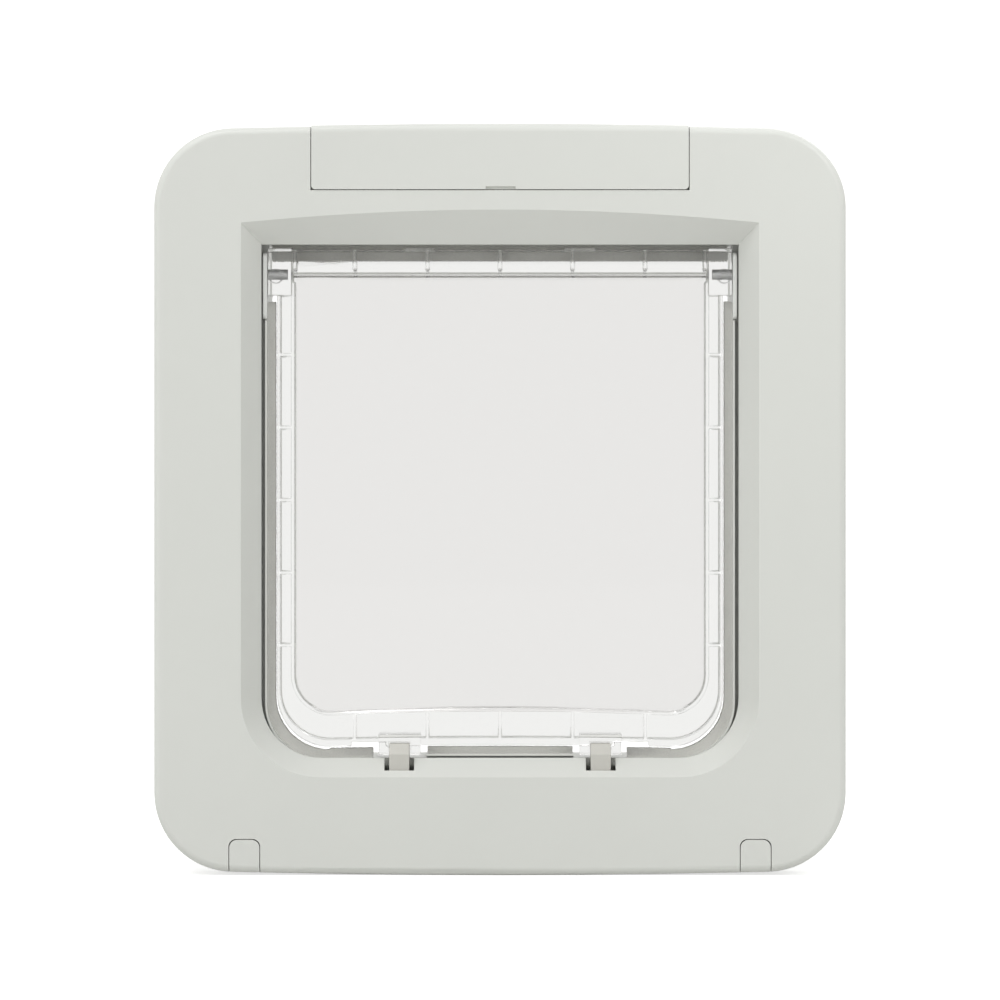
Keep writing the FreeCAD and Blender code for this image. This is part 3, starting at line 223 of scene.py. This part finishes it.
def pileYarn(name, hexColour):
    # polypropylene pile: matt fibres, each tuft a little lighter or darker
    material, tree, output = newMaterial(name)
    place = addNode(tree, "ShaderNodeTexCoord")
    fibre = addNode(tree, "ShaderNodeTexNoise", Vector=place.outputs["Object"],
                    Scale=1 / yarn["fibre"], Detail=2.0, Roughness=0.7)
    shade = linear(hexColour)
    darker = [c * (1 - yarn["toneSpread"]) for c in shade[:3]] + [1]
    lighter = [min(1, c * (1 + yarn["toneSpread"])) for c in shade[:3]] + [1]
    tone = addNode(tree, "ShaderNodeMix", {"data_type": "RGBA"}, i0=fibre.outputs["Fac"],
                   i6=darker, i7=lighter)
    bump = addNode(tree, "ShaderNodeBump", Strength=0.5, Distance=yarn["fibreDepth"],
                   Height=fibre.outputs["Fac"])
    shader = addNode(tree, "ShaderNodeBsdfPrincipled", Base_Color=tone.outputs[2], Roughness=0.85,
                     Normal=bump.outputs[0], Sheen_Weight=0.3, Sheen_Roughness=0.6, IOR=1.49)
    tree.links.new(shader.outputs[0], output.inputs[0])
    return material


cells = {
    "rowStart": 51.6 * mm,  # how far left of the middle the row begins
    "pitch": 52.7 * mm,     # from one cell to the next along the row
    "bandFrom": 0.72,       # where on a cell the coloured band begins
    "sleeve": "#1d1f22",
    "band": "#a8652e",
}


def cellSleeve(name):
    # shrink-sleeved dry cell: dark sleeve, copper-coloured band by the positive end
    material, tree, output = newMaterial(name)
    place = addNode(tree, "ShaderNodeTexCoord")
    parts = addNode(tree, "ShaderNodeSeparateXYZ", i0=place.outputs["Object"])
    along = addNode(tree, "ShaderNodeMath", {"operation": "ADD"}, i0=parts.outputs[0], i1=cells["rowStart"])
    count = addNode(tree, "ShaderNodeMath", {"operation": "DIVIDE"}, i0=along.outputs[0], i1=cells["pitch"])
    onCell = addNode(tree, "ShaderNodeMath", {"operation": "FRACT"}, i0=count.outputs[0])
    band = addNode(tree, "ShaderNodeMath", {"operation": "GREATER_THAN"}, i0=onCell.outputs[0],
                   i1=cells["bandFrom"])
    tone = addNode(tree, "ShaderNodeMix", {"data_type": "RGBA"}, i0=band.outputs[0],
                   i6=linear(cells["sleeve"]), i7=linear(cells["band"]))
    shader = addNode(tree, "ShaderNodeBsdfPrincipled", Base_Color=tone.outputs[2], Roughness=0.28, IOR=1.5)
    tree.links.new(shader.outputs[0], output.inputs[0])
    return material


board = {
    "face": -8.65 * mm,  # what lies in front of this is a chip, not the board
    "weave": 2.2 * mm,   # glass cloth, drawn coarser than the real one so that it shows
    "lacquerDark": "#0f4a27",
    "lacquerLight": "#1c6a3a",
    "chip": "#1b1b1d",
}


def solderMask(name):
    # glass-epoxy board under green lacquer; what stands proud of it is black epoxy
    material, tree, output = newMaterial(name)
    place = addNode(tree, "ShaderNodeTexCoord")
    parts = addNode(tree, "ShaderNodeSeparateXYZ", i0=place.outputs["Object"])
    chip = addNode(tree, "ShaderNodeMath", {"operation": "LESS_THAN"}, i0=parts.outputs[1], i1=board["face"])
    weave = addNode(tree, "ShaderNodeTexVoronoi", {"distance": "CHEBYCHEV"}, Vector=place.outputs["Object"],
                    Scale=1 / board["weave"], Randomness=0.6)
    green = addNode(tree, "ShaderNodeMix", {"data_type": "RGBA"}, i0=weave.outputs["Distance"],
                    i6=linear(board["lacquerDark"]), i7=linear(board["lacquerLight"]))
    tone = addNode(tree, "ShaderNodeMix", {"data_type": "RGBA"}, i0=chip.outputs[0], i6=green.outputs[2],
                   i7=linear(board["chip"]))
    shader = addNode(tree, "ShaderNodeBsdfPrincipled", Base_Color=tone.outputs[2], Roughness=0.3, IOR=1.5)
    tree.links.new(shader.outputs[0], output.inputs[0])
    return material


materials = {
    "shell": mouldedPlastic("offWhiteAbs", "#dedfd9", roughness=0.36),
    "flap_clear": clearPolycarbonate("clearPolycarbonate"),
    "white_plastic": mouldedPlastic("whiteAcetal", "#eaebe7", roughness=0.35),
    "grey_plastic": mouldedPlastic("greyAbs", "#6d6d6a"),
    "latch_grey": mouldedPlastic("greyAcetal", "#cbc9c1", roughness=0.38),
    "pinion_nylon": mouldedPlastic("naturalNylon", "#e2ddce", roughness=0.45),
    "steel": plainMetal("zincPlatedSteel", "#b9bbbd", bandPitch=0.7, bandDepth=0.12),
    "brass": plainMetal("turnedBrass", "#c8a658", roughness=0.28, bandPitch=0.9, bandDepth=0.15),
    "copper": plainMetal("enamelledCopper", "#a9582f", bandPitch=0.45, bandDepth=0.1, coat=0.6),
    # the pile's own pale grey, lifted lighter as painted light to make up for the shade in the gaps round the
    # flap
    "brush": pileYarn("pileYarn", "#e4e3de"),
    "board": solderMask("solderMask"),
    "led": mouldedPlastic("redLens", "#a01c18", roughness=0.15),
    "battery": cellSleeve("cellSleeve"),
}


groundPin = plainMetal("groundStainlessPin", "#f1f1f1", roughness=0.55, scratch=0.8)  # has no thread


def dressNodes():
    for name, node in nodes.items():
        finish = groundPin if name.startswith("hinge_pin") else materials[slotOf[name]]
        node.data.materials.clear()
        node.data.materials.append(finish)
    print("stage: nodes dressed")


def deselectAll():
    for thing in bpy.context.selected_objects:
        thing.select_set(False)


def makeActive(piece):
    deselectAll()
    piece.select_set(True)
    bpy.context.view_layer.objects.active = piece


def mergedCopy(name, tidyAngle):
    # a copy of a CAD piece with its loose triangles joined; tidyAngle in degrees makes flat faces whole
    node = nodes[name]
    piece = bpy.data.objects.new(name + "Moulded", node.data.copy())
    bpy.context.scene.collection.objects.link(piece)
    makeActive(piece)
    bpy.ops.object.mode_set(mode="EDIT")
    bpy.ops.mesh.select_all(action="SELECT")
    bpy.ops.mesh.remove_doubles(threshold=0.002 * mm)
    if tidyAngle:
        bpy.ops.mesh.dissolve_limited(angle_limit=math.radians(tidyAngle))
    bpy.ops.object.mode_set(mode="OBJECT")
    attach(piece, bodyOf[name])
    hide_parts(name)
    return piece


brokenEdge = {
    "segments": 2,
    "fromAngle": 28.0,  # degrees; gentler edges stay as they are
    "smoothTo": 38.0,
    "tidyAngle": 0.4,
}


def softenedCopy(name, width):
    # a copy of a CAD piece with its edges broken as a mould leaves them
    piece = mergedCopy(name, brokenEdge["tidyAngle"])
    bevel = piece.modifiers.new("brokenEdges", "BEVEL")
    bevel.width = width * mm
    bevel.segments = brokenEdge["segments"]
    bevel.limit_method = "ANGLE"
    bevel.angle_limit = math.radians(brokenEdge["fromAngle"])
    bevel.use_clamp_overlap = True
    bevel.miter_outer = "MITER_ARC"
    bpy.ops.object.modifier_apply(modifier=bevel.name)
    bpy.ops.object.shade_smooth_by_angle(angle=math.radians(brokenEdge["smoothTo"]))
    weighted = piece.modifiers.new("faceWeights", "WEIGHTED_NORMAL")
    weighted.keep_sharp = True
    bpy.ops.object.modifier_apply(modifier=weighted.name)
    return piece


def clearFlap():
    # the clear moulding: round walls are smooth, every flat face keeps its crease
    piece = mergedCopy("flap", 0)
    bpy.ops.object.shade_smooth_by_angle(angle=math.radians(clearMoulding["curveAngle"]))
    mesh = piece.data
    facesAt = {}
    for polygon in mesh.polygons:
        for key in polygon.edge_keys:
            facesAt.setdefault(key, []).append(polygon.normal)
    for edge in mesh.edges:
        pair = facesAt.get(edge.key, [])
        if len(pair) != 2 or pair[0].angle(pair[1]) < math.radians(clearMoulding["plateAngle"]):
            continue
        if max(abs(pair[0].y), abs(pair[1].y)) > clearMoulding["upright"]:
            edge.use_edge_sharp = True
    weighted = piece.modifiers.new("faceWeights", "WEIGHTED_NORMAL")
    weighted.keep_sharp = True
    bpy.ops.object.modifier_apply(modifier=weighted.name)
    levelShading(mesh)
    print("stage: clear flap ready")


def levelShading(mesh):
    # the pane's short slopes at head and foot are shaded level, so they bend light as its middle does,
    # and the round bar partly so, because its thick middle shows what lies straight behind it
    corners = [Vector(corner.vector) for corner in mesh.corner_normals]
    for polygon in mesh.polygons:
        normal, height = polygon.normal, polygon.center.z
        level = Vector((normal.x, normal.y, 0))
        if level.length < 0.5:
            continue
        if clearMoulding["slopeFoot"] < height < clearMoulding["slopeHead"]:
            share = 1.0 if abs(normal.z) > clearMoulding["tilted"] else 0.0
        else:
            onBar = height > 0 and abs(normal.x) < clearMoulding["upright"] < abs(normal.z)
            share = clearMoulding["barLevel"] if onBar else 0.0
        for i in polygon.loop_indices:
            corners[i] = (corners[i] * (1 - share) + level.normalized() * share).normalized()
    mesh.normals_split_custom_set(corners)


softened = {
    # node: edge radius in mm
    "front_frame": 0.45,
    "battery_cover": 0.35,
    "screw_cover_left": 0.3,
    "screw_cover_right": 0.3,
    "outer_frame": 0.45,
    "inner_housing": 0.3,
    "coil_cover": 0.3,
    "hinge_bracket_left": 0.25,
    "hinge_bracket_right": 0.25,
    "latch_left": 0.3,
    "latch_right": 0.3,
    "latch_bar": 0.2,
    "latch_guide_left": 0.25,
    "latch_guide_right": 0.25,
    "battery_tray": 0.25,
    "motor_bracket": 0.15,
    "learn_button": 0.2,
}


def softenMouldings():
    for name, width in softened.items():
        softenedCopy(name, width)
    print("stage: mouldings softened")


pile = {
    "pitch": 0.5 * mm,       # spacing of the tufts along the strip
    "backing": 0.7 * mm,     # woven backing on the tunnel wall
    "tuftWidth": 0.95 * mm,  # wider than the pitch, so that the pile closes
    "lean": 3.0,             # degrees that a tuft may lean either way
    "shortest": 0.96,        # the shortest tuft beside the longest
    "root": 0.42 * mm,       # how deep the tufts stand in from the wall
    "rootWidth": 0.72,       # a tuft's width at its root beside its middle
    "fray": 0.16,            # how far the corners of its tip fall back
    "clear": 0.3 * mm,       # left between the tips and the flap
    "smoothTo": 40.0,
    "cornerSteps": 12,       # runs round a corner of the tunnel
    "seed": 7,
}


def tuftMesh(depth):
    # one tuft: a flat bundle of fibres, pinched at its root and frayed at its tip
    bpy.ops.mesh.primitive_cube_add(size=1, location=(0, 0, 0))
    tuft = bpy.context.active_object
    makeActive(tuft)
    for vertex in tuft.data.vertices:
        vertex.co.x *= pile["tuftWidth"]
        vertex.co.y *= depth
        vertex.co.z += 0.5
    bpy.ops.object.mode_set(mode="EDIT")
    bpy.ops.mesh.select_all(action="SELECT")
    bpy.ops.mesh.subdivide(number_cuts=1)
    bpy.ops.object.mode_set(mode="OBJECT")
    for vertex in tuft.data.vertices:
        up = vertex.co.z
        vertex.co.x *= pile["rootWidth"] + 0.5 * up - 0.25 * up * up
        vertex.co.y *= 0.9 + 0.1 * up
        if up > 0.9:
            corner = abs(vertex.co.x) / pile["tuftWidth"] + abs(vertex.co.y) / depth
            vertex.co.z -= pile["fray"] * corner
    tuft.name = "tuftPattern"
    return tuft


def stripStations(points, pitch):
    # places evenly along a line of (x, z) points, with the way along at each
    spots = []
    rest = pitch / 2
    for start, end in zip(points, points[1:]):
        run = end - start
        while rest < run.length:
            spots.append((start + run.normalized() * rest, run.normalized()))
            rest += pitch
        rest -= run.length
    return spots


def pileSeal(name, points, yLow, yHigh, tipGap):
    # a strip of tufts on a thin backing; tipGap gives each tuft's length for its place
    depth = yHigh - yLow
    middle = (yLow + yHigh) / 2
    pattern = tuftMesh(depth)
    pieces = []
    for spot, along in stripStations(points, pile["pitch"]):
        inward = Vector((-along.y, along.x))
        length = tipGap(spot) - pile["root"]
        foot = spot + inward * pile["root"]
        lean = math.radians(random.uniform(-pile["lean"], pile["lean"]))
        frameTurn = Matrix((
            (along.x, 0, inward.x, foot.x),
            (0, 1, 0, middle),
            (along.y, 0, inward.y, foot.y),
            (0, 0, 0, 1),
        ))
        scale = Matrix.Diagonal((1, 1, length * random.uniform(pile["shortest"], 1.0), 1))
        tuft = pattern.copy()
        tuft.data = pattern.data.copy()
        tuft.data.transform(frameTurn @ Matrix.Rotation(lean, 4, "Y") @ scale)
        bpy.context.scene.collection.objects.link(tuft)
        pieces.append(tuft)
    backing = stripBacking(points, yLow, yHigh)
    deselectAll()
    for tuft in pieces:
        tuft.select_set(True)
    backing.select_set(True)
    bpy.context.view_layer.objects.active = backing
    bpy.ops.object.join()
    bpy.data.objects.remove(pattern)
    backing.name = name + "Pile"
    backing.data.materials.clear()
    backing.data.materials.append(materials["brush"])
    bpy.ops.object.shade_smooth_by_angle(angle=math.radians(pile["smoothTo"]))
    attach(backing, bodyOf[name])
    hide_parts(name)
    return backing


def stripBacking(points, yLow, yHigh):
    # the woven backing: a plane drawn along the points, then given its thickness
    bpy.ops.mesh.primitive_plane_add(size=1, location=(0, 0, 0))
    strip = bpy.context.active_object
    makeActive(strip)
    bpy.ops.object.mode_set(mode="EDIT")
    bpy.ops.mesh.select_all(action="SELECT")
    bpy.ops.mesh.delete(type="ONLY_FACE")
    bpy.ops.object.mode_set(mode="OBJECT")
    corners = strip.data.vertices
    for i, vertex in enumerate(corners):
        vertex.co = (points[0].x, yLow if i % 2 else yHigh, points[0].y)
    bpy.ops.object.mode_set(mode="EDIT")
    bpy.ops.mesh.select_all(action="SELECT")
    bpy.ops.mesh.remove_doubles(threshold=0.001 * mm)
    for start, end in zip(points, points[1:]):
        step = end - start
        bpy.ops.mesh.extrude_edges_move(TRANSFORM_OT_translate={"value": (step.x, 0, step.y)})
    bpy.ops.mesh.select_all(action="SELECT")
    bpy.ops.mesh.normals_make_consistent(inside=False)
    bpy.ops.object.mode_set(mode="OBJECT")
    first = strip.data.polygons[0]
    run = points[1] - points[0]
    inward = Vector((-run.y, 0, run.x))
    wall = strip.modifiers.new("backingWall", "SOLIDIFY")
    wall.thickness = pile["backing"]
    wall.offset = 1 if first.normal.dot(inward) > 0 else -1
    bpy.ops.object.modifier_apply(modifier=wall.name)
    return strip


passage = {
    # the tunnel that the seals line
    "side": 88.65 * mm,
    "bottom": 98.3 * mm,
    "radius": 20.8 * mm,
    "sillTop": -96.6 * mm,
}
flapOutline = {
    "side": 85.0 * mm,
    "bottom": 94.7 * mm,
    "radius": 20.0 * mm,
    "dip": 1.2 * mm,  # how far the foot hollows in the middle
}


def flapDistance(spot):
    # distance from a point in the gap to the flap's outline, less a hair
    x, z = abs(spot.x), spot.y
    cx = flapOutline["side"] - flapOutline["radius"]
    cz = -(flapOutline["bottom"] - flapOutline["radius"])
    if z > cz:
        gap = x - flapOutline["side"]
    elif x > cx:
        gap = math.hypot(x - cx, z - cz) - flapOutline["radius"]
    else:
        hollow = flapOutline["dip"] * (1 - (x / flapOutline["side"]) ** 2)
        gap = -flapOutline["bottom"] + hollow - z
    return gap - pile["clear"]


def pileSeals():
    random.seed(pile["seed"])
    for sign, name in ((-1, "brush_seal_left"), (1, "brush_seal_right")):
        low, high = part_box(name)
        corner = Vector((passage["side"] - passage["radius"], -passage["bottom"] + passage["radius"]))
        points = [Vector((passage["side"], high[2]))]
        for step in range(pile["cornerSteps"] + 1):
            turn = -math.pi / 2 * step / pile["cornerSteps"]
            points.append(corner + passage["radius"] * Vector((math.cos(turn), math.sin(turn))))
        points.append(Vector((min(abs(low[0]), abs(high[0])), -passage["bottom"])))
        points = [Vector((point.x * sign, point.y)) for point in points]
        if sign > 0:
            points.reverse()  # inward is to the left of the way along, so this strip runs upwards
        pileSeal(name, points, low[1], high[1], flapDistance)
    low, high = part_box("brush_seal_bottom")
    points = [Vector((low[0], passage["sillTop"])), Vector((high[0], passage["sillTop"]))]
    pileSeal("brush_seal_bottom", points, low[1], high[1], flapDistance)
    low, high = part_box("brush_seal_top")
    points = [Vector((high[0], high[2])), Vector((low[0], high[2]))]
    pileSeal("brush_seal_top", points, low[1], high[1], lambda spot: high[2] - low[2])
    print("stage: pile seals ready")


studioSet = {
    "floorWidth": 14.0,
    "floorLength": 12.0,
    "floorRows": 40,
    "bendStart": 2.0,       # the floor turns up into the backdrop this far behind
    "bendRadius": 1.0,
    "floorTone": "#d6d6d4",
    "floorGlow": 0.66,      # how far the floor and backdrop shine of themselves, for the camera only
    "worldLevel": 0.89,
    "lamps": {
        "keyTop": {"at": (-0.8, -0.9, 1.9), "size": 1.2, "power": 12.0, "tint": "#ffffff"},
        "sideLeft": {"at": (-1.6, -1.0, 0.3), "size": 1.0, "power": 2.2, "tint": "#ffffff"},
        "nearTopRight": {"at": (0.26, -0.24, 0.28), "size": 0.12, "power": 0.16, "tint": "#ffffff"},
        "behindRight": {"at": (0.9, 1.5, 1.4), "size": 1.2, "power": 12.0, "tint": "#ffffff"},
    },
}


def studio():
    low = cadBounds[0][2]
    bpy.ops.mesh.primitive_grid_add(x_subdivisions=2, y_subdivisions=studioSet["floorRows"], size=1,
                                    location=(0, 0, low))
    sweep = bpy.context.active_object
    sweep.name = "paleSweep"
    start, radius = studioSet["bendStart"], studioSet["bendRadius"]
    for vertex in sweep.data.vertices:
        vertex.co.x *= studioSet["floorWidth"]
        vertex.co.y *= studioSet["floorLength"]
        along = vertex.co.y - start
        if along > 0:
            turn = min(along / radius, math.pi / 2)
            vertex.co.y = start + radius * math.sin(turn)
            vertex.co.z = radius * (1 - math.cos(turn)) + max(0.0, along - radius * math.pi / 2)
    for polygon in sweep.data.polygons:
        polygon.use_smooth = True
    material, tree, output = newMaterial("paleFloor")
    path = addNode(tree, "ShaderNodeLightPath")
    diffuse = addNode(tree, "ShaderNodeBsdfDiffuse", Color=linear(studioSet["floorTone"]))
    glow = addNode(tree, "ShaderNodeEmission", Color=(1, 1, 1, 1), Strength=studioSet["floorGlow"])
    lit = addNode(tree, "ShaderNodeAddShader", i0=diffuse.outputs[0], i1=glow.outputs[0])
    white = addNode(tree, "ShaderNodeEmission", Color=(1, 1, 1, 1), Strength=1.0)
    glossyOrClear = addNode(tree, "ShaderNodeMath", {"operation": "MAXIMUM"},
                            i0=path.outputs["Is Transmission Ray"], i1=path.outputs["Is Glossy Ray"])
    direct = addNode(tree, "ShaderNodeMixShader", i0=path.outputs["Is Camera Ray"], i1=diffuse.outputs[0],
                     i2=lit.outputs[0])
    mix = addNode(tree, "ShaderNodeMixShader", i0=glossyOrClear.outputs[0], i1=direct.outputs[0],
                  i2=white.outputs[0])
    tree.links.new(mix.outputs[0], output.inputs[0])
    sweep.data.materials.append(material)

    world = bpy.data.worlds.new("studioWorld")
    bpy.context.scene.world = world
    world.use_nodes = True
    tree = world.node_tree
    tree.nodes.clear()
    worldOutput = tree.nodes.new("ShaderNodeOutputWorld")
    path = addNode(tree, "ShaderNodeLightPath")
    soft = addNode(tree, "ShaderNodeBackground", Color=linear("#f6f7f8"), Strength=studioSet["worldLevel"])
    white = addNode(tree, "ShaderNodeBackground", Color=(1, 1, 1, 1), Strength=1.0)
    seen = addNode(tree, "ShaderNodeMath", {"operation": "MAXIMUM"}, i0=path.outputs["Is Camera Ray"],
                   i1=path.outputs["Is Transmission Ray"])
    mix = addNode(tree, "ShaderNodeMixShader", i0=seen.outputs[0], i1=soft.outputs[0], i2=white.outputs[0])
    tree.links.new(mix.outputs[0], worldOutput.inputs[0])

    for name, lamp in studioSet["lamps"].items():
        light = bpy.data.lights.new(name, "AREA")
        light.size = lamp["size"]
        light.energy = lamp["power"]
        light.color = linear(lamp["tint"])[:3]
        holder = bpy.data.objects.new(name, light)
        bpy.context.scene.collection.objects.link(holder)
        holder.location = lamp["at"]
        holder.rotation_euler = (-Vector(lamp["at"])).to_track_quat("-Z", "Y").to_euler()
        holder.visible_camera = False

    camera = bpy.data.cameras.new("frontCamera")
    camera.sensor_width = view["sensor"]
    camera.lens = view["sensor"] * view["distance"] / view["frameShown"]
    holder = bpy.data.objects.new("frontCamera", camera)
    bpy.context.scene.collection.objects.link(holder)
    faceY = cadBounds[0][1]
    holder.location = (0, faceY - view["distance"], view["height"])
    holder.rotation_euler = (math.pi / 2, 0, 0)
    bpy.context.scene.camera = holder
    bpy.context.scene.view_settings.view_transform = "Standard"
    print("stage: studio ready")


dressNodes()
softenMouldings()
clearFlap()
pileSeals()
studio()
